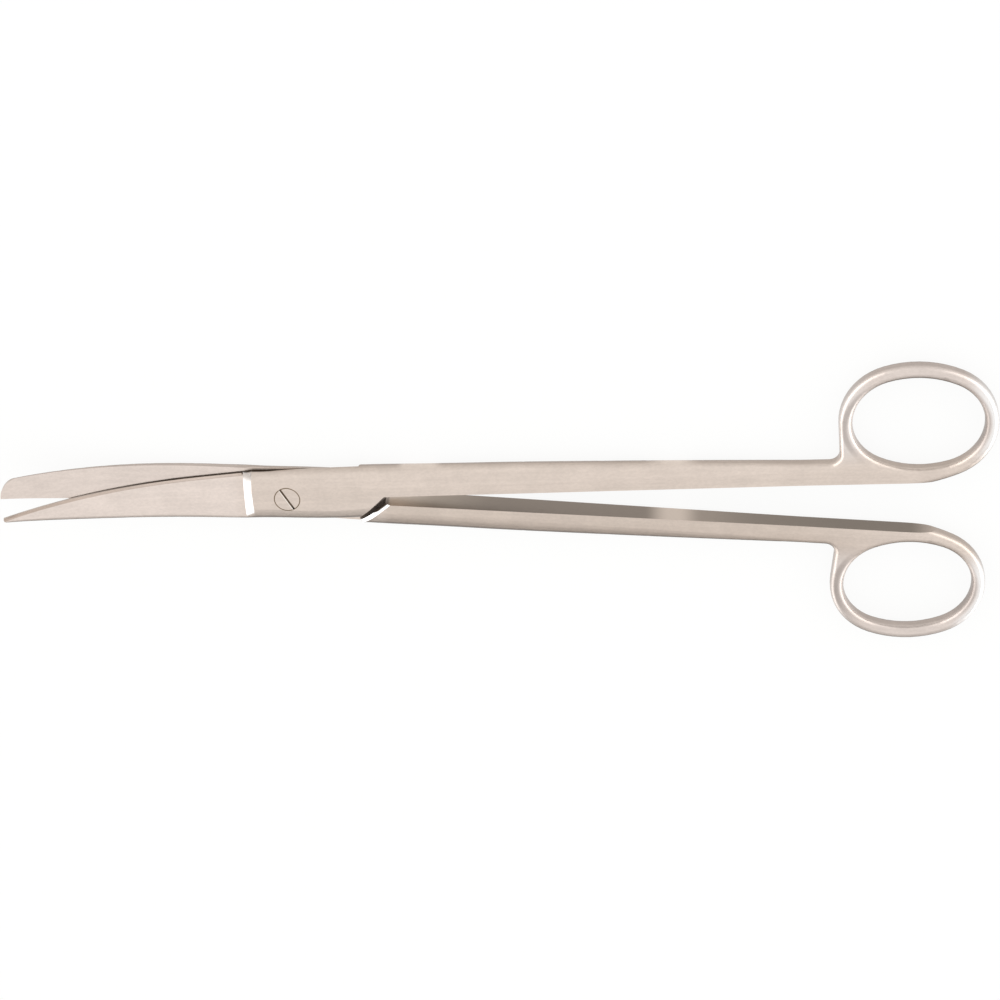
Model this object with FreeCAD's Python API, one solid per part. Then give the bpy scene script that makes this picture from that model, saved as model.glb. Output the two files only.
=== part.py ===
import FreeCAD, Part
import math
import os

from FreeCAD import Placement, Rotation, Vector

# Uterine scissors, curved on the flat, one sharp and one blunt blade.
# The origin is on the pivot axis at the underside of the joint. The blades point
# along -X, the finger rings lie along +X, and +Z is the side of the screw head.
# Each half is drawn in its own frame, closed, with its meeting face at Z = 0, its
# blade below the X axis and its ring above it. The rear half is then turned over,
# and both are swung apart to the angle at which the instrument lies.

# Opening of the instrument as it lies, between the shanks, in degrees
opening_angle = 5.2

# Lap joint
joint_thickness = 7.2
lap_gap = 0.12
root_length = 8.4
heel_length = 17.0
root_half_width = 6.55
pivot_half_width = 6.8
heel_half_width = 7.0
edge_side_half_width = 6.4
joint_rounding = 4.4
side_land = 0.06
ground_land = 0.04

# Oblique shoulder where a shank leaves the joint
shoulder_length = 23.6
shoulder_angle = 44.0
shoulder_clearance = 0.25
shoulder_chamfer = 0.85

# Shank
shank_width_heel = 6.82
shank_width_neck = 5.3
shank_swell = 0.46
neck_length = 124.0
shank_stations = (0.1, 0.3, 0.5, 0.7, 0.9, 1.0)
inner_flat_clearance = 0.06
flat_stock = 0.15

# Finger ring
ring_centre_length = 151.4
ring_centre_offset = 15.7
ring_hole_length = 31.0
ring_hole_width = 24.5
ring_band = 3.25
ring_thickness = 4.5
ring_end_radius = 11.5
ring_tilt = -4.4
ring_edge_radius = 1.6
neck_fillet = 2.8
throat_lean = 2.0
ring_heel_radius = 45.0

# Blades
step_length = 2.25
blade_length = 69.3
curve_start = 22.9
curve_radius = 146.0
spine_root_y = -6.1
cutting_root_y = 6.05
spine_thickness_root = 2.35
spine_thickness_tip = 1.05
edge_thickness_root = 0.5
edge_thickness_tip = 0.7
edge_land_root = 0.2
edge_land_tip = 0.05
bevel_width_root = 0.45
bevel_width_tip = 0.65
spine_round = 1.1
face_crown = 0.45
narrow_share = 0.3
blade_stations = 6

# Sharp blade of the front half
sharp_spine_y = -2.03
sharp_edge_y = -1.09
sharp_spine_bow = 1.1
sharp_spine_lean = 0.4
sharp_edge_bow = 0.68
sharp_edge_lean = 0.3
sharp_tip_radius = 1.6

# Blunt blade of the rear half
blunt_spine_y = -2.9
blunt_edge_y = 2.1
blunt_spine_bow = 0.75
blunt_spine_lean = 0.3
blunt_edge_bow = 0.35
blunt_tip_radius = 5.0

# Pivot screw
screw_head_diameter = 6.15
screw_head_height = 1.5
screw_shank_diameter = 3.5
screw_running_clearance = 0.05
screw_seat_clearance = 0.03
screw_thread_clearance = 0.02
screw_end_recess = 0.05
slot_width = 0.5
slot_depth = 0.7
slot_angle = -62.0

# Sizes that follow
joint_half = joint_thickness / 2.0
face_level = lap_gap / 2.0
blade_root_x = -(root_length + step_length)
blade_span = blade_length - root_length - step_length
ring_half_length = ring_hole_length / 2.0
ring_half_width = ring_hole_width / 2.0
ring_end_length = ring_centre_length + ring_half_length + ring_band
taper_length = neck_length - heel_length
reach = 2.0 * ring_end_length
blade_depth = 3.0 * joint_thickness
tolerance = 0.01
joining_tolerance = 0.0005
lap_sector = 140.0


def blend(start, end, share):
    """The value a share of the way from start to end."""
    return start + (end - start) * share


def half_thickness(x):
    """Half the thickness of the joint, shank or ring at a distance from the pivot."""
    share = min(max(x - heel_length, 0.0) / taper_length, 1.0)
    return blend(joint_half, ring_thickness / 2.0, share)


def curve_rise(radius):
    """Rise of the curved blades above the joint plane at a distance from the pivot."""
    run = max(radius - curve_start, 0.0)
    return curve_radius - math.sqrt(curve_radius ** 2 - run ** 2)


def quarter_round(start, corner, end):
    """A quarter of an ellipse from start to end that touches both sides of a corner."""
    curve = Part.BezierCurve()
    curve.setPoles([start, corner, end])
    curve.setWeight(2, math.sqrt(0.5))
    return curve.toShape()


def bowed(start, middle, end):
    """A shallow bow from start to end, drawn towards its middle pole."""
    curve = Part.BezierCurve()
    curve.setPoles([start, middle, end])
    return curve.toShape()


def line(start, end):
    """A straight edge between two points."""
    return Part.makeLine(start, end)


def prism(points, low, high):
    """An upright prism on a plan outline, between two heights."""
    loop = [Vector(x, y, low) for x, y in points]
    face = Part.Face(Part.makePolygon(loop + [loop[0]]))
    return face.extrude(Vector(0, 0, high - low))


def bar_sizes(x):
    """Outer edge, inner edge, half thickness, rounding and side land of the bar at x."""
    share = max(x - heel_length, 0.0) / (neck_length - heel_length)
    swell = 4.0 * shank_swell * share * (1.0 - share)
    if x < heel_length:
        outer = blend(edge_side_half_width, shank_width_heel, max(x, 0.0) / heel_length)
    else:
        outer = blend(shank_width_heel, shank_width_neck, share) + swell
    if x < 0.0:
        inner = blend(pivot_half_width, root_half_width, -x / root_length)
    elif x < heel_length:
        inner = blend(pivot_half_width, heel_half_width, x / heel_length)
    else:
        inner = blend(heel_half_width, ring_edge_radius + flat_stock, share)
    half = half_thickness(x) + ground_land * (1.0 - share)
    rounding = blend(joint_rounding, ring_edge_radius, share ** 2)
    side = blend(side_land / 2.0, half_thickness(neck_length) - ring_edge_radius, share ** 2)
    return outer, -inner, half, rounding, side


def bar_section(x):
    """The oval section of the forged bar, rounded on both sides."""
    outer, inner, half, rounding, side = bar_sizes(x)
    top_left = Vector(x, inner + rounding, half)
    top_right = Vector(x, outer - rounding, half)
    right_high = Vector(x, outer, side)
    right_low = Vector(x, outer, -side)
    low_right = Vector(x, outer - rounding, -half)
    low_left = Vector(x, inner + rounding, -half)
    left_low = Vector(x, inner, -side)
    left_high = Vector(x, inner, side)
    return Part.Wire([
        line(top_left, top_right),
        quarter_round(top_right, Vector(x, outer, half), right_high),
        line(right_high, right_low),
        quarter_round(right_low, Vector(x, outer, -half), low_right),
        line(low_right, low_left),
        quarter_round(low_left, Vector(x, inner, -half), left_low),
        line(left_low, left_high),
        quarter_round(left_high, Vector(x, inner, half), top_left),
    ])


def bar():
    """Joint and shank as forged, from the blade root to the neck of the ring."""
    shank = neck_length - heel_length
    stations = [-root_length, 0.0, heel_length]
    stations += [heel_length + shank * share for share in shank_stations]
    return Part.makeLoft([bar_section(x) for x in stations], True, False)


def oval(grown):
    """The ring's oval as four tangent arcs, grown all round: far end, side, near end, side."""
    offset = ring_half_length - ring_end_radius
    flat = ring_half_width - ring_end_radius
    drop = (offset ** 2 - flat ** 2) / (2.0 * flat)
    turn = math.degrees(math.atan2(drop, offset))
    tilt = Placement(
        Vector(ring_centre_length, ring_centre_offset, 0), Rotation(Vector(0, 0, 1), ring_tilt))
    ends = ring_end_radius + grown
    sides = ring_half_width + drop + grown
    arcs = [
        (Vector(offset, 0, 0), ends, -turn),
        (Vector(0, -drop, 0), sides, turn),
        (Vector(-offset, 0, 0), ends, 180.0 - turn),
        (Vector(0, drop, 0), sides, 180.0 + turn),
    ]
    return [(tilt.multVec(centre), radius, start + ring_tilt) for centre, radius, start in arcs]


def on_circle(centre, radius, angle):
    """The point of a circle at an angle in degrees."""
    turn = math.radians(angle)
    return centre + Vector(math.cos(turn), math.sin(turn), 0) * radius


def arc(centre, radius, start, end):
    """The arc of a circle between two angles in degrees, turning left."""
    middle = on_circle(centre, radius, (start + end) / 2.0)
    return Part.Arc(on_circle(centre, radius, start), middle, on_circle(centre, radius, end)).toShape()


def head_contour():
    """Plan of ring and neck: neck, rounded heel of the ring, ring, throat, back to neck."""
    outer_y, inner_y = bar_sizes(neck_length)[:2]
    far, side, near, _ = oval(ring_band)
    heel_drop = far[0].y - inner_y - ring_heel_radius
    heel_angle = math.degrees(math.asin(heel_drop / (ring_heel_radius - far[1])))
    heel_point = on_circle(far[0], far[1], heel_angle)
    heel_centre = on_circle(heel_point, ring_heel_radius, heel_angle + 180.0)
    heel_foot = Vector(heel_centre.x, inner_y, 0)
    throat_angle = 180.0 + throat_lean
    throat_point = on_circle(near[0], near[1], throat_angle)
    lean = math.tan(math.radians(throat_lean))
    corner = Vector(throat_point.x + (throat_point.y - outer_y) * lean, outer_y, 0)
    setback = neck_fillet * math.tan(math.radians(90.0 - throat_lean) / 2.0)
    fillet_start = on_circle(corner, setback, 90.0 + throat_lean)
    fillet_centre = Vector(corner.x - setback, outer_y + neck_fillet, 0)
    fillet_end = Vector(fillet_centre.x, outer_y, 0)
    fillet_middle = on_circle(fillet_centre, neck_fillet, (throat_lean - 90.0) / 2.0)
    neck_low = Vector(neck_length, inner_y, 0)
    neck_high = Vector(neck_length, outer_y, 0)
    return Part.Wire([
        line(neck_low, heel_foot),
        arc(heel_centre, ring_heel_radius, -90.0, heel_angle),
        arc(far[0], far[1], heel_angle, side[2]),
        arc(side[0], side[1], side[2], near[2]),
        arc(near[0], near[1], near[2], throat_angle),
        line(throat_point, fillet_start),
        Part.Arc(fillet_start, fillet_middle, fillet_end).toShape(),
        line(fillet_end, neck_high),
        line(neck_high, neck_low),
    ])


def ring_hole():
    """Plan of the finger hole."""
    arcs = oval(0.0)
    ends = [start for _, _, start in arcs[1:]] + [arcs[0][2] + 360.0]
    return Part.Wire([arc(*one, end) for one, end in zip(arcs, ends)])


def head():
    """Finger ring and neck in one plate with all its edges rounded."""
    plan = Part.Face(head_contour()).cut(Part.Face(ring_hole())).Faces[0]
    plan.translate(Vector(0, 0, -ring_thickness / 2.0))
    plate = plan.extrude(Vector(0, 0, ring_thickness))
    rims = []
    for edge in plate.Edges:
        box = edge.BoundBox
        upright = box.ZLength > ring_edge_radius
        at_neck = box.XMax < neck_length + tolerance
        if not upright and not at_neck:
            rims.append(edge)
    return plate.makeFillet(ring_edge_radius, rims)


def shoulder_wedge(x, side, low, high):
    """The plan beyond the oblique shoulder through x, on the side given by its sign."""
    run = reach / math.tan(math.radians(shoulder_angle))
    points = [(x, 0), (x - run, side * reach), (x + reach, side * reach), (x + reach, 0)]
    return prism(points, low, high)


def between_faces(solid):
    """The solid between the two outer faces, which are ground flat on the joint."""
    slab = Part.makeBox(2 * reach, 2 * reach, joint_thickness)
    slab.translate(Vector(-reach, -reach, -joint_half))
    return solid.common(slab)


def handle():
    """Joint, shank and ring, with the inner flat, the lap and the shoulder ground in."""
    solid = between_faces(bar().fuse(head(), joining_tolerance))
    flat = inner_flat_clearance
    tall = 2.0 * joint_thickness
    beyond = shoulder_wedge(shoulder_length, -1, -tall, tall)
    beyond.translate(Vector(0, flat, 0))
    solid = solid.cut(beyond)
    run = reach / math.tan(math.radians(shoulder_angle))
    wall_x = shoulder_length + shoulder_clearance
    pocket = prism([
        (-reach, -reach), (wall_x + run, -reach), (wall_x - run, reach), (-reach, reach),
    ], -tall, face_level)
    return solid.cut(pocket).removeSplitter()


def chamfered(solid):
    """Break the edge where the shoulder's wall meets the outer face of the shank."""
    wall_x = shoulder_length + shoulder_clearance
    slope = math.tan(math.radians(shoulder_angle))
    edges = []
    for edge in solid.Edges:
        middle = edge.valueAt(edge.getParameterByLength(edge.Length / 2.0))
        on_wall = abs(middle.y - slope * (wall_x - middle.x)) < tolerance
        outside = middle.z < -shoulder_chamfer / 2.0
        level = edge.BoundBox.XLength > shoulder_clearance
        if on_wall and outside and level:
            edges.append(edge)
    return solid.makeChamfer(shoulder_chamfer, edges)


def blade_section(x, spine_y, edge_y, bend):
    """Section of a blade: rounded spine, crowned outer face and narrow cutting bevel."""
    share = (blade_root_x - x) / blade_span
    width = edge_y - spine_y
    spine = blend(spine_thickness_root, spine_thickness_tip, share)
    edge = blend(edge_thickness_root, edge_thickness_tip, share)
    land = blend(edge_land_root, edge_land_tip, share)
    rounding = min(spine_round, narrow_share * width)
    bevel = min(blend(bevel_width_root, bevel_width_tip, share), narrow_share * width)
    spine_z = face_level + bend * curve_rise(math.hypot(x, spine_y))
    edge_z = face_level + bend * curve_rise(math.hypot(x, edge_y))
    low_spine = Vector(x, spine_y, -blade_depth)
    low_edge = Vector(x, edge_y, -blade_depth)
    spine_side = Vector(x, spine_y, spine_z + spine - rounding)
    spine_corner = Vector(x, spine_y, spine_z + spine)
    spine_top = Vector(x, spine_y + rounding, spine_z + spine)
    bevel_top = Vector(x, edge_y - bevel, edge_z + land + edge)
    edge_tip = Vector(x, edge_y, edge_z + land)
    crown_rise = face_crown * min(width / (cutting_root_y - spine_root_y), 1.0)
    crown = (spine_top + bevel_top) * 0.5 + Vector(0, 0, 2.0 * crown_rise)
    return Part.Wire([
        line(low_edge, low_spine),
        line(low_spine, spine_side),
        quarter_round(spine_side, spine_corner, spine_top),
        bowed(spine_top, crown, bevel_top),
        line(bevel_top, edge_tip),
        line(edge_tip, low_edge),
    ])


def joint_end_section():
    """The joint's section at the blade root, in the same six edges as a blade's."""
    x = -root_length
    outer, inner, half, rounding, side = bar_sizes(x)
    low_edge = Vector(x, outer, -blade_depth)
    low_spine = Vector(x, inner, -blade_depth)
    spine_side = Vector(x, inner, side)
    edge_side = Vector(x, outer, side)
    top_left = Vector(x, inner + rounding, half)
    top_right = Vector(x, outer - rounding, half)
    return Part.Wire([
        line(low_edge, low_spine),
        line(low_spine, spine_side),
        quarter_round(spine_side, Vector(x, inner, half), top_left),
        line(top_left, top_right),
        quarter_round(top_right, Vector(x, outer, half), edge_side),
        line(edge_side, low_edge),
    ])


def lap_tool(bend):
    """All that lies beyond the meeting face, turned about the pivot axis."""
    near = root_length / 2.0
    far = blade_length + 2.0 * blunt_tip_radius
    middle = (curve_start + far) / 2.0
    start = Vector(near, 0, face_level)
    tangent = Vector(curve_start, 0, face_level)
    through = Vector(middle, 0, face_level + bend * curve_rise(middle))
    end = Vector(far, 0, face_level + bend * curve_rise(far))
    low_end = Vector(far, 0, -2.0 * blade_depth)
    low_start = Vector(near, 0, -2.0 * blade_depth)
    outline = Part.Wire([
        line(start, tangent),
        Part.Arc(tangent, through, end).toShape(),
        line(end, low_end),
        line(low_end, low_start),
        line(low_start, start),
    ])
    face = Part.Face(outline)
    face.rotate(Vector(0, 0, 0), Vector(0, 0, 1), 180.0 - lap_sector / 2.0)
    return face.revolve(Vector(0, 0, 0), Vector(0, 0, 1), lap_sector)


def blade_body(spine_line, edge_line, end_x, bend):
    """Blade and root step. The two lines give Y for a share of the blade's span."""
    sections = []
    for i in range(blade_stations):
        x = blend(blade_root_x, end_x, i / (blade_stations - 1))
        share = (blade_root_x - x) / blade_span
        sections.append(blade_section(x, spine_line(share), edge_line(share), bend))
    blade = Part.makeLoft(sections, True, False)
    step = Part.makeLoft([sections[0], joint_end_section()], True, True)
    tool = lap_tool(bend)
    return blade.cut(tool), step.cut(tool)


def bowed_line(root, tip, bow, lean=0.0):
    """Y along a blade: root to tip, bowed out halfway, the bow leaning to the tip."""
    def y_at(share):
        bulge = 4.0 * bow * share * (1.0 - share)
        return blend(root, tip, share) + bulge * (1.0 + lean * (2.0 * share - 1.0))
    return y_at


def tip_tool(spine_line, radius):
    """Cuts a blade square at its tip, with a round corner at the spine."""
    centre_x = radius - blade_length
    centre_y = spine_line((blade_root_x - centre_x) / blade_span) + radius
    corner = prism([
        (centre_x, centre_y), (centre_x, -reach), (-reach, -reach), (-reach, centre_y),
    ], -reach, reach)
    post = Part.makeCylinder(radius, 2.0 * reach, Vector(centre_x, centre_y, -reach))
    end = Part.makeBox(reach, 2.0 * reach, 2.0 * reach)
    end.translate(Vector(-blade_length - reach, -reach, -reach))
    return corner.cut(post).fuse(end)


def sharp_blade():
    """The front half's blade, narrow at the tip and curved towards the screw head."""
    spine = bowed_line(spine_root_y, sharp_spine_y, -sharp_spine_bow, sharp_spine_lean)
    edge = bowed_line(cutting_root_y, sharp_edge_y, sharp_edge_bow, sharp_edge_lean)
    blade, step = blade_body(spine, edge, -blade_length - sharp_tip_radius, 1.0)
    return blade.cut(tip_tool(spine, sharp_tip_radius)), step


def blunt_blade():
    """The rear half's blade, which follows the same curve from the other side."""
    spine = bowed_line(spine_root_y, blunt_spine_y, -blunt_spine_bow, blunt_spine_lean)
    edge = bowed_line(cutting_root_y, blunt_edge_y, blunt_edge_bow)
    blade, step = blade_body(spine, edge, -blade_length - blunt_tip_radius, -1.0)
    return blade.cut(tip_tool(spine, blunt_tip_radius)), step


def half(blade_parts):
    """One half in its own frame: handle, root step and blade made one solid."""
    blade, step = blade_parts
    solid = chamfered(handle()).fuse([between_faces(step), blade], joining_tolerance)
    return solid.removeSplitter()


def bore(diameter, low, high):
    """A cylinder on the pivot axis, between two heights."""
    return Part.makeCylinder(diameter / 2.0, high - low, Vector(0, 0, low))


def placed(shape, swing, turned_over):
    """A half in its place in the instrument."""
    result = shape.copy()
    if turned_over:
        result.rotate(Vector(0, 0, 0), Vector(1, 0, 0), 180)
    result.rotate(Vector(0, 0, 0), Vector(0, 0, 1), swing)
    result.translate(Vector(0, 0, joint_half))
    return result


def front_half():
    """The half that turns on the screw, with the seat for the screw's head."""
    head_seat = joint_half - screw_head_height - screw_seat_clearance
    clearance = 2.0 * screw_running_clearance
    solid = half(sharp_blade())
    solid = solid.cut(bore(screw_shank_diameter + clearance, -joint_half, joint_half))
    solid = solid.cut(bore(screw_head_diameter + clearance, head_seat, joint_thickness))
    return placed(solid, opening_angle / 2.0, False)


def rear_half():
    """The half that the screw is fixed in, turned over so that its blade laps the other."""
    clearance = 2.0 * screw_thread_clearance
    solid = half(blunt_blade())
    solid = solid.cut(bore(screw_shank_diameter + clearance, -joint_thickness, joint_thickness))
    return placed(solid, -opening_angle / 2.0, True)


def pivot_screw():
    """Slotted screw, its head ground flush with the crowned face of the joint."""
    head_blank = bore(screw_head_diameter, joint_half - screw_head_height, joint_half)
    head_blank = head_blank.common(bar())
    shank_low = screw_end_recess - joint_half
    shank = bore(screw_shank_diameter, shank_low, joint_half - screw_head_height)
    slot = Part.makeBox(2.0 * screw_head_diameter, slot_width, joint_half)
    slot.translate(Vector(-screw_head_diameter, -slot_width / 2.0, joint_half - slot_depth))
    slot.rotate(Vector(0, 0, 0), Vector(0, 0, 1), slot_angle)
    screw = head_blank.fuse(shank).cut(slot).removeSplitter()
    return placed(screw, opening_angle / 2.0, False)


def main():
    os.makedirs("parts", exist_ok=True)
    shapes = {
        "front_half": front_half(),
        "rear_half": rear_half(),
        "pivot_screw": pivot_screw(),
    }
    for name, shape in shapes.items():
        solid = shape.Solids[0]
        box = solid.BoundBox
        print(name, len(shape.Solids), "solid", "valid", solid.isValid(), end=" ")
        print("volume", round(solid.Volume, 1), "box", box)
        solid.exportStep("parts/" + name + ".step")


main()
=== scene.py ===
# %% [markdown]
# # Uterine scissors
# A long surgical instrument of satin stainless steel: two curved halves, lapped and
# screwed together, with a blunt and a sharp blade. The shapes come as a fixed frame, one
# mesh for each real piece, so this lesson is about metal: how a ground and blasted steel
# surface is described, and how a light tent makes such a surface readable.

# %% Load the frame
import math
from types import SimpleNamespace

import bpy
import numpy as np
from mathutils import Matrix

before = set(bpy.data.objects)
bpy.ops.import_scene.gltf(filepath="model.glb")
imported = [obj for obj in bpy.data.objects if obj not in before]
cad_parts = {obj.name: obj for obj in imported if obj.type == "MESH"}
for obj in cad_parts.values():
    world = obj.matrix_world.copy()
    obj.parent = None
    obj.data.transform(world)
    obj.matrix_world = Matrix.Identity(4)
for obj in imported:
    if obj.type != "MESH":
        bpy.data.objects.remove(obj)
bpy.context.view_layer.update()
print("pieces:", sorted(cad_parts))

# %% [markdown]
# ## How the halves lie
# Each half was drawn closed, lengthwise on the X axis, and then swung out by half of the
# opening. The finishes follow each half and not the floor, so every pattern is read in
# that half's own lengthwise frame. A Mapping node turns the coordinates back; this is
# simpler than painting a mask, and it stays right when the scissors open. The screw's
# slot was measured against the front half, so its marks are turned with that half.

# %% How far each piece is swung
opening = math.radians(5.2)
swing = {"front_half": opening / 2, "rear_half": -opening / 2, "pivot_screw": opening / 2}
halves = ("front_half", "rear_half")
print("each half is swung by", round(math.degrees(opening / 2), 2), "degrees")

# %% [markdown]
# ## Small helpers for node materials
# A finish is a short chain of nodes. These helpers keep the chain readable: one feeds a
# socket, one adds a node, one does arithmetic and one mixes two colours. Without them each
# node would take four or five lines, and the metal would be hard to see behind them.

# %% Node helpers
def feed(tree, socket, value):
    """Links the socket to another node's output, or sets it to a plain value."""
    if isinstance(value, bpy.types.NodeSocket):
        tree.links.new(value, socket)
    else:
        socket.default_value = value


def add(tree, kind, **sockets):
    """Adds a node and feeds its sockets by name; an underscore stands for a space."""
    node = tree.nodes.new(kind)
    for name, value in sockets.items():
        feed(tree, node.inputs[name.replace("_", " ")], value)
    return node


def calc(tree, operation, *values):
    """The result of one Math node."""
    node = tree.nodes.new("ShaderNodeMath")
    node.operation = operation
    for socket, value in zip(node.inputs, values):
        feed(tree, socket, value)
    return node.outputs[0]


def tint(tree, below, above, factor, blend="MIX"):
    """Mixes two colours: below where the factor is 0, above laid over it where it is 1."""
    node = tree.nodes.new("ShaderNodeMix")
    node.data_type = "RGBA"
    node.blend_type = blend
    for place, value in ((6, below), (7, above), (0, factor)):
        feed(tree, node.inputs[place], value)
    return node.outputs[2]


print("node helpers ready")

# %% [markdown]
# ## Masks
# A mask says where a finish is: 1 on the place, 0 away from it, and soft between. All masks
# on this instrument are made of one part, a step between two values. A step that is turned
# round falls, a rise and a fall together make a band, and the product of several masks
# holds only where all of them do.

# %% Mask helpers
def step_between(tree, value, low, high, to_low=0.0, to_high=1.0, curve="SMOOTHSTEP"):
    """to_low below low, to_high above high, and between them an S-curve or a line."""
    node = add(tree, "ShaderNodeMapRange", Value=value, From_Min=low, From_Max=high,
               To_Min=to_low, To_Max=to_high)
    node.interpolation_type = curve
    return node.outputs["Result"]


def fall_between(tree, value, low, high):
    """The step turned round: 1 below low and 0 above high."""
    return step_between(tree, value, low, high, 1.0, 0.0)


def times(tree, *values):
    """The product of the values; for masks, the places where all of them hold."""
    product = values[0]
    for value in values[1:]:
        product = calc(tree, "MULTIPLY", product, value)
    return product


def band(tree, value, start, full, last, end):
    """Rises between start and full and falls again between last and end."""
    return times(tree, step_between(tree, value, start, full),
                 fall_between(tree, value, last, end))


def size_of(tree, value):
    """The value without its sign."""
    return calc(tree, "ABSOLUTE", value)


def reach(tree, x, y):
    """The length of the arrow (x, y): the root of x x + y y."""
    return calc(tree, "SQRT", calc(tree, "ADD", times(tree, x, x), times(tree, y, y)))


print("mask helpers ready")

# %% [markdown]
# ## Satin steel
# Surgical scissors are blasted with fine glass beads and brushed, which gives a soft,
# slightly warm grey without glare. On the metal this is a high metallic value, a medium
# roughness, and three kinds of unevenness: clouds some millimetres wide, streaks drawn out
# along the half by the brush, and a fine grain. All go into the colour. A still finer grain
# goes into roughness and bump. The blades are a little paler than the joint and the shanks.
#
# Later cells lay further tones over this base, each held in place by a mask.

# %% Laying tones over the steel
def lay(steel, colour, mask, blend="MIX"):
    """Lays a colour over the finish where the mask is 1, or multiplies the finish by it."""
    steel.colour = tint(steel.tree, steel.colour, colour, mask, blend)
    steel.tree.links.new(steel.colour, steel.shader.inputs["Base Color"])


def drawn_noise(steel, along, scale):
    """Noise in the half's lengthwise frame, drawn out along X by 1 / along."""
    drawn = add(steel.tree, "ShaderNodeMapping", Vector=steel.place)
    drawn.inputs["Scale"].default_value = (along, 1.0, 1.0)
    noise = add(steel.tree, "ShaderNodeTexNoise", Vector=drawn.outputs[0],
                Scale=scale, Detail=2.0, Roughness=0.6)
    return noise.outputs["Fac"]


print("tones can be laid")

# %% [markdown]
# ## Where a place is, and which way it faces
# Every later mask asks one of two things: where on the half a place is, or which way the
# surface faces there. Both are worked out once for each piece, turned into its lengthwise
# frame, and kept with the material: at for the place, to for the facing, and beside for
# the distance from the half's inner flat, which is Y without its sign. Places are in
# metres from the pivot, with X towards the rings and Z upwards.

# %% Steel read lengthwise
def lengthwise_steel(name, turn):
    """A metal whose place and facing are turned back by the angle that the half is swung."""
    material = bpy.data.materials.new(name)
    material.use_nodes = True
    tree = material.node_tree
    spot = tree.nodes.new("ShaderNodeTexCoord")
    lengthwise = add(tree, "ShaderNodeMapping", Vector=spot.outputs["Object"])
    lengthwise.inputs["Rotation"].default_value = (0.0, 0.0, -turn)
    facing = add(tree, "ShaderNodeMapping", Vector=spot.outputs["Normal"])
    facing.inputs["Rotation"].default_value = (0.0, 0.0, -turn)
    steel = SimpleNamespace(material=material, tree=tree, shader=tree.nodes["Principled BSDF"],
                            place=lengthwise.outputs[0])
    steel.shader.inputs["Metallic"].default_value = 1.0
    steel.at = add(tree, "ShaderNodeSeparateXYZ", Vector=steel.place).outputs
    steel.to = add(tree, "ShaderNodeSeparateXYZ", Vector=facing.outputs[0]).outputs
    steel.beside = size_of(tree, steel.at["Y"])
    return steel


steels = {name: lengthwise_steel(name + "_satin", swing[name]) for name in swing}
print("steels:", sorted(steel.material.name for steel in steels.values()))

# %% [markdown]
# ## The base finish
# Each kind of unevenness is one noise: how far it is drawn out along the half, how fine it
# is, and how deep it goes into the colour. Each multiplies the tone by a number near 1, so
# the warm grey keeps its hue.

# %% Base finish
joint_tone = (0.70, 0.605, 0.535, 1)
blade_tone = (0.755, 0.66, 0.60, 1)
clouds, streaks, grains = (1.0, 160.0, 0.025), (0.04, 900.0, 0.03), (0.6, 1900.0, 0.035)
smoothest, roughest = 0.30, 0.39

for name, steel in steels.items():
    tree = steel.tree
    on_blade = fall_between(tree, steel.at["X"], -0.0135, -0.0085)
    steel.colour = tint(tree, joint_tone, blade_tone, on_blade)
    for along, scale, depth in (clouds, streaks, grains):
        noise = drawn_noise(steel, along, scale)
        lay(steel, step_between(tree, noise, 0.3, 0.7, 1.0 - depth, 1.0 + depth), 1.0, "MULTIPLY")
    grain = drawn_noise(steel, 0.12, 5200.0)
    uneven = step_between(tree, grain, 0.25, 0.75, smoothest, roughest)
    tree.links.new(uneven, steel.shader.inputs["Roughness"])
    bump = add(tree, "ShaderNodeBump", Height=grain, Strength=0.12, Distance=0.00002)
    tree.links.new(bump.outputs[0], steel.shader.inputs["Normal"])
    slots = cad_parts[name].material_slots
    slots[0].material = steel.material
    print(name, "has", len(slots), "slot and is finished as", steel.material.name)

# %% [markdown]
# ## Polished rings
# The rings are brushed round and polished more than the rest, because fingers rub there.
# They are less warm, and their two ends are painted paler: a painted highlight, where the
# round band is turned along the half and takes the light of both ends of the tent.

# %% Polished rings
ring_x, ring_y = 0.1514, 0.0156
cooler = (1.0, 1.02, 1.06, 1)
end_highlight_tone = (0.90, 0.86, 0.84, 1)

for name in halves:
    steel = steels[name]
    tree = steel.tree
    on_ring = times(tree, step_between(tree, steel.at["X"], 0.124, 0.134),
                    step_between(tree, steel.beside, 0.004, 0.012))
    lay(steel, cooler, on_ring, "MULTIPLY")
    from_middle = size_of(tree, calc(tree, "SUBTRACT", steel.at["X"], ring_x))
    steel.ring_ends = times(tree, on_ring, step_between(tree, from_middle, 0.010, 0.017))
    lay(steel, end_highlight_tone, times(tree, steel.ring_ends, 0.4))
    print(name, "has its ring polished")

# %% [markdown]
# ## Light and dark across a ring
# Each ring's ends are painted light and dark across the band, as the round band mirrors
# the tent. Next to the shank a painted shade line runs along the middle; at the far end it
# lies against the hole, and the outer side has a painted highlight. To tell where a place
# lies across the band, the hole is read as an ellipse. With a = (x - ring_x) / half its
# length and b = (y - ring_y) / half its width, the root of a a + b b is 1 on the hole's
# edge and 1 + band_share on the ring's outer edge.

# %% Light and dark across the rings
hole_half_length, hole_half_width = 0.0155, 0.01225
band_share = 0.22
shade_line_tone = (0.57, 0.545, 0.53, 1)
side_highlight_tone = (0.95, 0.94, 0.93, 1)

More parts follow.
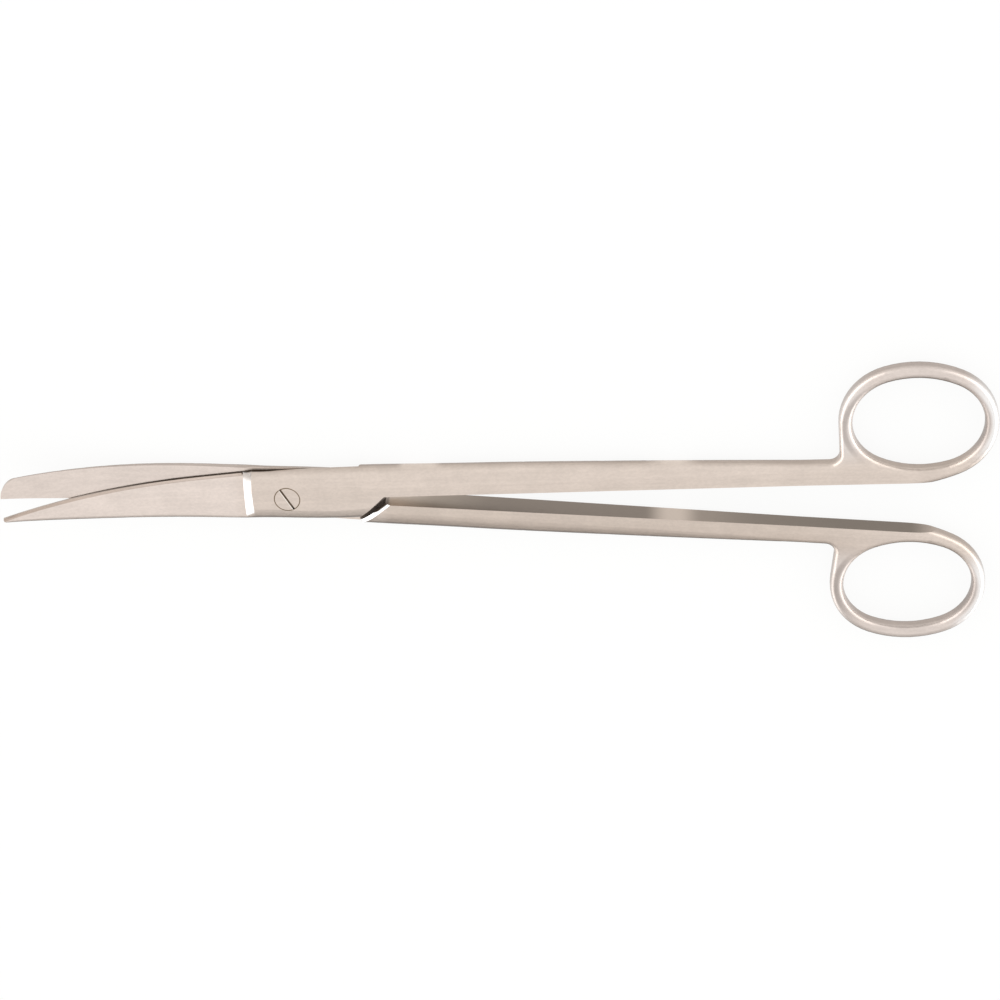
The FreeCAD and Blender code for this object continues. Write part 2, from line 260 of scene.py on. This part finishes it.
for name in halves:
    steel = steels[name]
    tree = steel.tree
    along = calc(tree, "DIVIDE", calc(tree, "SUBTRACT", steel.at["X"], ring_x), hole_half_length)
    aside = calc(tree, "DIVIDE", calc(tree, "SUBTRACT", steel.beside, ring_y), hole_half_width)
    past_hole = calc(tree, "SUBTRACT", reach(tree, along, aside), 1.0)
    across = calc(tree, "DIVIDE", past_hole, band_share)
    far_end = step_between(tree, along, 0.0, 0.3)
    near_line = times(tree, band(tree, across, 0.25, 0.50, 0.65, 0.90),
                      step_between(tree, along, 0.0, 0.3, 0.75, 0.0))
    far_line = times(tree, fall_between(tree, across, 0.20, 0.42), far_end)
    line = calc(tree, "MAXIMUM", near_line, far_line)
    lay(steel, shade_line_tone, times(tree, line, steel.ring_ends), "MULTIPLY")
    outer_side = step_between(tree, across, 0.36, 0.56)
    lay(steel, side_highlight_tone, times(tree, outer_side, far_end, steel.ring_ends, 0.75))
    print(name, "has a ring band of", round(1000 * hole_half_length * band_share, 1), "mm")

# %% [markdown]
# ## Where the steel turns away
# The rounded flanks of the shanks and rings are painted darker towards their outline:
# painted shade, as the light falls from above. How far a place has turned away is read
# from the height of its own normal. Two places on each shank are left bright: painted
# reflections on the flank. The sides that face the far, dim wall of the tent are painted
# darkest of all: painted shade too.

# %% Darker flanks
near_reflection_patch = (0.0265, 0.0290, 0.0350, 0.0385)
far_reflection_patch = (0.0855, 0.0925, 0.0945, 0.1005)
flank_shade_tone = (0.50, 0.47, 0.45, 1)
dim_side_shade_tone = (0.22, 0.195, 0.175, 1)

for name, steel in steels.items():
    tree = steel.tree
    # polished: the two places where the painted flank shade is left off, as painted reflections
    polished = calc(tree, "MAXIMUM", band(tree, steel.at["X"], *near_reflection_patch),
                    band(tree, steel.at["X"], *far_reflection_patch))
    turned_away = times(tree, fall_between(tree, steel.to["Z"], -0.45, 0.75),
                        calc(tree, "SUBTRACT", 1.0, polished))
    lay(steel, flank_shade_tone, turned_away, "MULTIPLY")
    lay(steel, dim_side_shade_tone, fall_between(tree, steel.to["Y"], -0.66, -0.40), "MULTIPLY")
    print(name, "darkens to its outline")

# %% [markdown]
# ## The rear shank
# The shank of the rear half lies lower and partly in its partner's shade, so it is painted
# greyer, most of all towards its outer side: painted shade. Two greys are mixed by the
# distance from the inner flat, and a band in X holds the tone off the joint and lets it
# fade out before the ring.

# %% Rear shank
steel = steels["rear_half"]
tree = steel.tree
inner_shade_grey, outer_shade_grey = (0.91, 0.90, 0.885, 1), (0.78, 0.755, 0.735, 1)
shank_shade = tint(tree, inner_shade_grey, outer_shade_grey, step_between(tree, steel.beside, 0.001, 0.0065))
lay(steel, shank_shade, band(tree, steel.at["X"], 0.022, 0.026, 0.120, 0.150), "MULTIPLY")
print("rear shank greyed to", outer_shade_grey[:3])

# %% [markdown]
# ## Ground inner flats
# The inner sides of the shanks are ground flat. Their dark tone is painted shade: each flat
# faces its partner and mirrors the shadowed floor between them. The tone isn't even:
# painted light makes it lighter next to the shoulder, a painted reflection lighter at the
# bright place, and painted shade darkest near the rings. So the tone starts as one colour,
# and others are blended in along X before the whole is laid on the flat.

# %% Ground flats
shoulder_x = 0.0243
flat_shade_tone = (0.25, 0.208, 0.175, 1)

for name in halves:
    steel = steels[name]
    tree = steel.tree
    x = steel.at["X"]
    ground = flat_shade_tone
    # tones along X: painted shade near the rings, painted light near the shoulder, painted
    # reflection at the bright place
    for tone, place in (
        ((0.215, 0.18, 0.15, 1), step_between(tree, x, 0.105, 0.135)),
        ((0.40, 0.335, 0.28, 1), fall_between(tree, x, 0.030, 0.053)),
        ((0.64, 0.545, 0.465, 1), fall_between(tree, x, 0.024, 0.036)),
        ((0.33, 0.275, 0.232, 1), band(tree, x, 0.0855, 0.0925, 0.0985, 0.114)),
        ((0.60, 0.51, 0.44, 1), band(tree, x, 0.0865, 0.0925, 0.0945, 0.1005)),
    ):
        ground = tint(tree, ground, tone, place)
    in_middle = fall_between(tree, steel.beside, 0.0001, 0.0003)
    faces_partner = step_between(tree, size_of(tree, steel.to["Y"]), 0.6, 0.9)
    past_shoulder = step_between(tree, x, shoulder_x, shoulder_x + 0.0004)
    flat = times(tree, in_middle, faces_partner, past_shoulder,
                 fall_between(tree, x, 0.150, 0.1575))
    lay(steel, ground, flat)
    print(name, "has its inner flat toned")

# %% [markdown]
# ## The shoulder
# The oblique wall of the shoulder stands in shade and is painted the darkest steel of all:
# painted shade. The chamfer above it is painted the brightest: a painted highlight from the
# end lamp. The wall is told from the chamfer by its height, which falls towards the
# outline, or by standing upright.

# %% Shoulder
shoulder_span = (0.010, 0.011, 0.040, 0.041)
chamfer_highlight_tone = (0.90, 0.88, 0.87, 1)
wall_shade_tone = (0.065, 0.046, 0.033, 1)

for name in halves:
    steel = steels[name]
    tree = steel.tree
    at_shoulder = band(tree, steel.at["X"], *shoulder_span)
    chamfer = times(tree, at_shoulder, fall_between(tree, steel.to["X"], -0.5, -0.3))
    lay(steel, chamfer_highlight_tone, chamfer)
    wall_top = step_between(tree, steel.beside, 0.0020, 0.0060, 0.00668, 0.0040)
    above_wall = calc(tree, "SUBTRACT", steel.at["Z"], wall_top)
    under_top = fall_between(tree, above_wall, -0.0001, 0.0001)
    upright = fall_between(tree, size_of(tree, steel.to["Z"]), 0.2, 0.4)
    wall = times(tree, at_shoulder, fall_between(tree, steel.to["X"], -0.4, -0.3),
                 calc(tree, "MAXIMUM", under_top, upright))
    lay(steel, wall_shade_tone, wall)
    print(name, "has its shoulder toned")

# %% [markdown]
# ## The line of the cutting edge
# The sharp blade's edge bows outwards. Later tones follow it, so its line is written as a
# formula: at a share s of the blade, from root to tip, the edge's Y is the straight line
# between them plus 4 b s (1 - s) (1 + l (2 s - 1)), with the bow b and its lean l. What
# is kept is how far inside that line a place lies.

# %% Line of the edge
edge_root, edge_tip = (-0.01065, 0.00605), (-0.0693, -0.00109)
edge_bow, edge_lean = 0.00068, 0.3

steel = steels["front_half"]
tree = steel.tree
share = step_between(tree, steel.at["X"], edge_tip[0], edge_root[0], 1.0, 0.0, "LINEAR")
straight = calc(tree, "MULTIPLY_ADD", share, edge_tip[1] - edge_root[1], edge_root[1])
leaning = calc(tree, "MULTIPLY_ADD", share, 2.0 * edge_lean, 1.0 - edge_lean)
bulge = times(tree, share, calc(tree, "SUBTRACT", 1.0, share), 4.0 * edge_bow, leaning)
inside = calc(tree, "SUBTRACT", calc(tree, "ADD", straight, bulge), steel.at["Y"])
print("the edge bows out by", round(1000 * edge_bow, 2), "mm")

# %% [markdown]
# ## The honed edge
# The sharp blade is honed along its cutting edge. The narrow bevel looks nearly black at the
# joint, where the other blade's shadow lies in the gap, and paler towards the tip. Beside it
# runs a second, lightly honed band. Both widths are distances inside the edge's line.

# %% Honed edge
bevel_width, honed_width = 0.00018, 0.0008
gap_tone, bare_tone = (0.04, 0.026, 0.017, 1), (0.55, 0.48, 0.43, 1)
honed_root, honed_tip = (0.74, 0.71, 0.68, 1), (0.70, 0.65, 0.605, 1)

blade_top = times(tree, fall_between(tree, steel.at["X"], -0.0107, -0.0100),
                  step_between(tree, steel.to["Z"], -0.5, -0.3))
honed = tint(tree, honed_root, honed_tip, step_between(tree, share, 0.3, 1.0))
on_band = fall_between(tree, inside, honed_width - 0.0002, honed_width)
lay(steel, honed, times(tree, blade_top, on_band), "MULTIPLY")
gloom = tint(tree, gap_tone, bare_tone, step_between(tree, share, 0.3, 0.95))
on_bevel = fall_between(tree, inside, bevel_width - 0.0001, bevel_width)
lay(steel, gloom, times(tree, blade_top, on_bevel))
print("honed over", round(1000 * honed_width, 2), "mm")

# %% [markdown]
# ## The gap beside the joint
# Where the two halves begin to part, the front half's side stands over a gap that no light
# reaches. A shadow alone stays too pale, because the steel mirrors the tent, so this low
# part of the side is toned as dark as the gap. Its top sinks slowly towards the pivot.

# %% Gap beside the joint
dark_top = step_between(tree, steel.at["X"], -0.007, 0.003, 0.0043, 0.0036)
above_dark = calc(tree, "SUBTRACT", steel.at["Z"], dark_top)
in_gap = times(tree, band(tree, steel.at["X"], -0.0112, -0.0107, 0.002, 0.005),
               step_between(tree, steel.to["Y"], 0.2, 0.4),
               fall_between(tree, above_dark, -0.0002, 0.0002))
lay(steel, gap_tone, in_gap)
print("gap darkened")

# %% [markdown]
# ## The step from joint to blade
# The slope by which the front half drops from the thick joint to the thin blade is painted
# with the brightest glint on the instrument: a painted highlight from the end lamp. Its
# ends, where the slope runs out to the sides, are painted duller.

# %% Step
glint_tone, glint_end_shade = (0.86, 0.85, 0.84, 1), (0.42, 0.385, 0.36, 1)
slope = times(tree, band(tree, steel.at["X"], -0.0120, -0.0115, -0.0080, -0.0076),
              step_between(tree, size_of(tree, steel.to["X"]), 0.15, 0.35))
lay(steel, glint_tone, slope)
slope_end = times(tree, slope, step_between(tree, steel.beside, 0.0038, 0.0056))
lay(steel, glint_end_shade, slope_end, "MULTIPLY")
print("step polished")

# %% [markdown]
# ## The screw in its seat
# The head lies flush in its seat, and the gap between them is too narrow to show its shade.
# So the rim of the head and the wall of the seat are both painted golden brown, a painted
# shade of that gap: a place belongs to them by its distance from the pivot axis.

# %% Screw's rim and seat
head_rim, seat_rim, soft = 0.00297, 0.00322, 0.00005
gap_shade_tone = (0.27, 0.20, 0.135, 1)

for name, inner, outer in (("front_half", 0.0, seat_rim), ("pivot_screw", head_rim, 0.0040)):
    steel = steels[name]
    tree = steel.tree
    steel.radius = reach(tree, steel.at["X"], steel.at["Y"])
    rim = band(tree, steel.radius, inner - soft, inner + soft, outer - soft, outer + soft)
    lay(steel, gap_shade_tone, rim)
    print(name, "has a dark rim from", round(1000 * inner, 2), "to", round(1000 * outer, 2), "mm")

# %% [markdown]
# ## The screw's slot
# The bottom of the slot is painted almost black: painted shade in the recess. Its walls are
# painted bright, a painted highlight, and so is a thin band along one side: a painted
# highlight on the head's top, read square to the slot's own direction.

# %% Screw's slot
steel = steels["pivot_screw"]
tree = steel.tree
height = steel.at["Z"]
slot_shade_tone = (0.13, 0.10, 0.075, 1)
slot_wall_highlight, slot_edge_highlight = (0.95, 0.88, 0.80, 1), (0.92, 0.85, 0.78, 1)
slot_floor = times(tree, fall_between(tree, height, 0.0068, 0.0070),
                   step_between(tree, steel.to["Z"], 0.4, 0.6))
lay(steel, slot_shade_tone, slot_floor)
slot_wall = times(tree, step_between(tree, height, 0.0064, 0.0065),
                  fall_between(tree, size_of(tree, steel.to["Z"]), 0.2, 0.4),
                  fall_between(tree, steel.radius, 0.0028, 0.0030))
lay(steel, slot_wall_highlight, slot_wall)

slot_angle = math.radians(-62.0)
square_to_slot = calc(tree, "ADD", times(tree, steel.at["X"], math.sin(slot_angle)),
                      times(tree, steel.at["Y"], -math.cos(slot_angle)))
# burr: a thin painted highlight along one side of the slot
burr = times(tree, band(tree, square_to_slot, 0.00022, 0.00026, 0.00040, 0.00048),
             step_between(tree, height, 0.0068, 0.0069))
lay(steel, slot_edge_highlight, burr)
print("slot at", round(math.degrees(slot_angle)), "degrees has a burr on one side")

# %% [markdown]
# ## The sheet on the floor
# The instrument lies on a large white sheet. A plain grid is enough: its points are spread
# evenly over a square, and each quad joins four neighbours. It lies a hair under the steel,
# so the two surfaces never share one height.

# %% Sheet
def floor_sheet(half_size, level, count=9):
    """A level square of count by count points, each coordinate from -half_size to half_size."""
    line = np.linspace(-half_size, half_size, count)
    x, y = np.meshgrid(line, line, indexing="ij")
    points = np.stack([x, y, np.full_like(x, level)], axis=-1).reshape(-1, 3)
    index = np.arange(count * count).reshape(count, count)
    quads = np.stack([index[:-1, :-1], index[1:, :-1], index[1:, 1:], index[:-1, 1:]], axis=-1)
    mesh = bpy.data.meshes.new("floor")
    mesh.from_pydata(points.tolist(), [], quads.reshape(-1, 4).tolist())
    return mesh


floor = bpy.data.objects.new("floor", floor_sheet(half_size=1.2, level=-0.00002))
bpy.context.scene.collection.objects.link(floor)
print("floor of", len(floor.data.vertices), "points")

# %% [markdown]
# ## White paper
# Paper by itself would render grey, so what the eye and the steel see of it is mixed with
# plain white. The rest of the paper's own look stays in, as a faint shadow round the
# object. Scattered light still meets plain paper, so the white adds no light of its own.

# %% White paper
shadow_lift = 0.9
paper = bpy.data.materials.new("white_paper")
paper.use_nodes = True
sheet = paper.node_tree
paper_shader = sheet.nodes["Principled BSDF"]
paper_shader.inputs["Base Color"].default_value = (0.93, 0.93, 0.925, 1)
paper_shader.inputs["Roughness"].default_value = 0.9
paper_shader.inputs["Specular IOR Level"].default_value = 0.0
white = add(sheet, "ShaderNodeEmission", Color=(1.0, 1.0, 0.995, 1), Strength=1.0)
seen = sheet.nodes.new("ShaderNodeLightPath").outputs
looked_at = calc(sheet, "MAXIMUM", seen["Is Camera Ray"], seen["Is Glossy Ray"])
looked_at = calc(sheet, "MAXIMUM", looked_at, seen["Is Transmission Ray"])
lift = add(sheet, "ShaderNodeMixShader", Fac=times(sheet, looked_at, shadow_lift))
sheet.links.new(paper_shader.outputs[0], lift.inputs[1])
sheet.links.new(white.outputs[0], lift.inputs[2])
sheet.links.new(lift.outputs[0], sheet.nodes["Material Output"].inputs["Surface"])
floor.data.materials.append(paper)
print("paper is lifted to white by", shadow_lift)

# %% [markdown]
# ## Light tent
# Instruments are photographed in a tent of white cloth. Steel shows what stands around it:
# the bright cloth overhead makes the upper faces pale, the cloth gets dimmer low down on the
# side away from the camera, and two lamps behind the cloth at the ends give white glints on
# the step, the shoulder and the rings, which painted highlights there make stronger. The
# tent is the world's colour, worked out from the direction alone, because a real cloth
# would stand in the camera's way.

# %% Light tent
dim_low, bright_top = (0.32, 0.315, 0.31, 1), (1.04, 1.04, 1.04, 1)
camera_low, camera_high = (0.85, 0.845, 0.84, 1), (1.0, 1.0, 1.0, 1)
lamp_glow = (2.15, 2.15, 2.15, 1)

world = bpy.data.worlds.new("light_tent")
bpy.context.scene.world = world
world.use_nodes = True
tent = world.node_tree
direction = tent.nodes.new("ShaderNodeTexCoord")
parts = add(tent, "ShaderNodeSeparateXYZ", Vector=direction.outputs["Generated"]).outputs
rise = step_between(tent, parts["Z"], -0.1, 0.9, curve="LINEAR")
far_side = tint(tent, dim_low, bright_top, rise)
camera_side = tint(tent, camera_low, camera_high, step_between(tent, parts["Z"], 0.0, 0.25))
cloth = tint(tent, far_side, camera_side, step_between(tent, parts["Y"], -0.15, 0.15))
lamps = times(tent, step_between(tent, size_of(tent, parts["X"]), 0.35, 0.6),
              fall_between(tent, parts["Z"], 0.38, 0.62))
cloth = tint(tent, cloth, lamp_glow, lamps)
tent.links.new(cloth, tent.nodes["Background"].inputs["Color"])
tent.nodes["Background"].inputs["Strength"].default_value = 1.0
print("tent lit, with its end lamps at", lamp_glow[0])

# %% [markdown]
# ## Camera
# The photograph looks down on the instrument from the side of the front half's ring, tilted
# by about 32 degrees, with a long lens. The camera is placed by that tilt, a small turn
# about the vertical and a small roll, and then set back along its own view line.

# %% Camera
tilt, turn, roll = math.radians(31.76), math.radians(7.14), math.radians(7.13)
standing_at = (0.09433, 0.34146, 0.56148)

look = Matrix.Rotation(-turn, 4, "Z") @ Matrix.Rotation(-tilt, 4, "X")
camera = bpy.data.objects.new("camera", bpy.data.cameras.new("camera"))
camera.data.sensor_width = 36.0
camera.data.lens = 97.54
camera.data.clip_start = 0.01
camera.matrix_world = Matrix.Translation(standing_at) @ look @ Matrix.Rotation(roll, 4, "Z")
bpy.context.scene.collection.objects.link(camera)
bpy.context.scene.camera = camera
bpy.context.scene.view_settings.view_transform = "Standard"
print("camera stands", round(math.dist(standing_at, (0, 0, 0)), 3), "m from the pivot")
